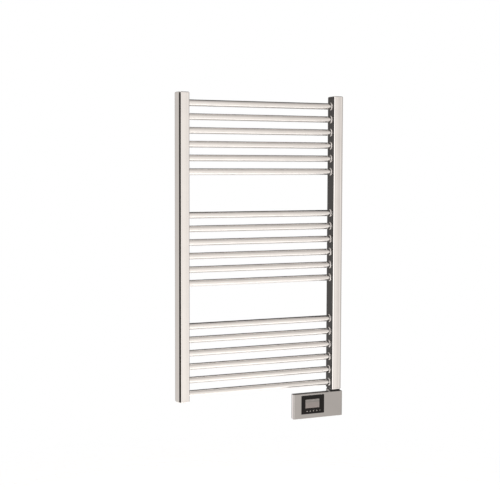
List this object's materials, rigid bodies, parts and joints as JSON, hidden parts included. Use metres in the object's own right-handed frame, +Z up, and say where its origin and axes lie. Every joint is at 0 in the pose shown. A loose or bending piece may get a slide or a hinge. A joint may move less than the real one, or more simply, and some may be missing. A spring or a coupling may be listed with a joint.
{
  "type": "towel warmer rack",
  "caption": "Chrome ladder towel warmer with grouped round bars between D-section uprights and an electronic controller under the right upright.",
  "frame": {"origin": "centre of the four wall-fixing inserts, in the plane of the uprights' rear faces", "axes": "+Z up along the uprights, +Y towards the wall, +X to the right as seen from the front"},
  "size_m": [0.5, 0.0518, 0.926],
  "materials": {
    "upright_chrome": "bright chrome plating over brazed steel",
    "bar_chrome": "bright chrome plating on round steel tube",
    "housing_chrome": "chrome-plated moulded housing",
    "plug_chrome": "chrome-plated brass plug",
    "insert_steel": "zinc-plated steel",
    "screw_steel": "zinc-plated screws",
    "element_sheath": "stainless steel sheath",
    "brass": "machined brass",
    "seal_rubber": "black rubber",
    "ceramic": "glazed ceramic",
    "lead_insulation": "silicone insulation",
    "back_plastic": "fine-grained moulded plastic",
    "window_black": "glossy black acrylic",
    "lcd_glass": "grey liquid crystal display",
    "board_green": "solder-masked laminate",
    "relay_blue": "moulded relay case",
    "terminal_ivory": "moulded polyamide",
    "ribbon_grey": "flat cable insulation",
    "switch_plastic": "moulded switch case",
    "key_black": null,
    "plunger_grey": "moulded plunger"
  },
  "bodies": {
    "rack": {"left_upright": "upright_chrome", "right_upright": "upright_chrome", "left_top_cap": "upright_chrome", "right_top_cap": "upright_chrome", "left_bottom_cap": "upright_chrome", "right_bottom_cap": "upright_chrome", "crossbar_01": "bar_chrome", "crossbar_02": "bar_chrome", "crossbar_03": "bar_chrome", "crossbar_04": "bar_chrome", "crossbar_05": "bar_chrome", "crossbar_06": "bar_chrome", "crossbar_07": "bar_chrome", "crossbar_08": "bar_chrome", "crossbar_09": "bar_chrome", "crossbar_10": "bar_chrome", "crossbar_11": "bar_chrome", "crossbar_12": "bar_chrome", "crossbar_13": "bar_chrome", "crossbar_14": "bar_chrome", "crossbar_15": "bar_chrome", "crossbar_16": "bar_chrome", "crossbar_17": "bar_chrome", "crossbar_18": "bar_chrome", "left_braze_fillets": "upright_chrome", "right_braze_fillets": "upright_chrome", "wall_fixing_inserts": "insert_steel", "fill_plug": "plug_chrome", "fill_plug_seal": "seal_rubber", "heating_element": "element_sheath", "element_plug": "brass", "element_seal": "seal_rubber", "thermal_cutout": "ceramic", "element_leads": "lead_insulation", "controller_housing": "housing_chrome", "head_back_plate": "back_plastic", "block_back_plate": "back_plastic", "back_plate_screws": "screw_steel", "display_window": "window_black", "lcd_module": "lcd_glass", "control_board": "board_green", "power_board": "board_green", "board_screws": "screw_steel", "relay": "relay_blue", "terminal_block": "terminal_ivory", "board_ribbon": "ribbon_grey", "inlet_bush": "seal_rubber", "cord_clamp": "terminal_ivory", "cord_clamp_screws": "screw_steel", "switch_bodies": "switch_plastic"},
    "power_button": {"power_key": "key_black", "power_plunger": "plunger_grey"},
    "timer_button": {"timer_key": "key_black", "timer_plunger": "plunger_grey"},
    "down_button": {"down_key": "key_black", "down_plunger": "plunger_grey"},
    "up_button": {"up_key": "key_black", "up_plunger": "plunger_grey"},
    "mode_button": {"mode_key": "key_black", "mode_plunger": "plunger_grey"}
  },
  "joints": [
    {"name": "power_press", "type": "slide", "parent": "rack", "child": "power_button", "axis": [0, 1, 0], "range_m": [0, 0.0005], "stiffness_N_per_m": 800},
    {"name": "timer_press", "type": "slide", "parent": "rack", "child": "timer_button", "axis": [0, 1, 0], "range_m": [0, 0.0005], "stiffness_N_per_m": 800},
    {"name": "down_press", "type": "slide", "parent": "rack", "child": "down_button", "axis": [0, 1, 0], "range_m": [0, 0.0005], "stiffness_N_per_m": 800},
    {"name": "up_press", "type": "slide", "parent": "rack", "child": "up_button", "axis": [0, 1, 0], "range_m": [0, 0.0005], "stiffness_N_per_m": 800},
    {"name": "mode_press", "type": "slide", "parent": "rack", "child": "mode_button", "axis": [0, 1, 0], "range_m": [0, 0.0005], "stiffness_N_per_m": 800}
  ]
}
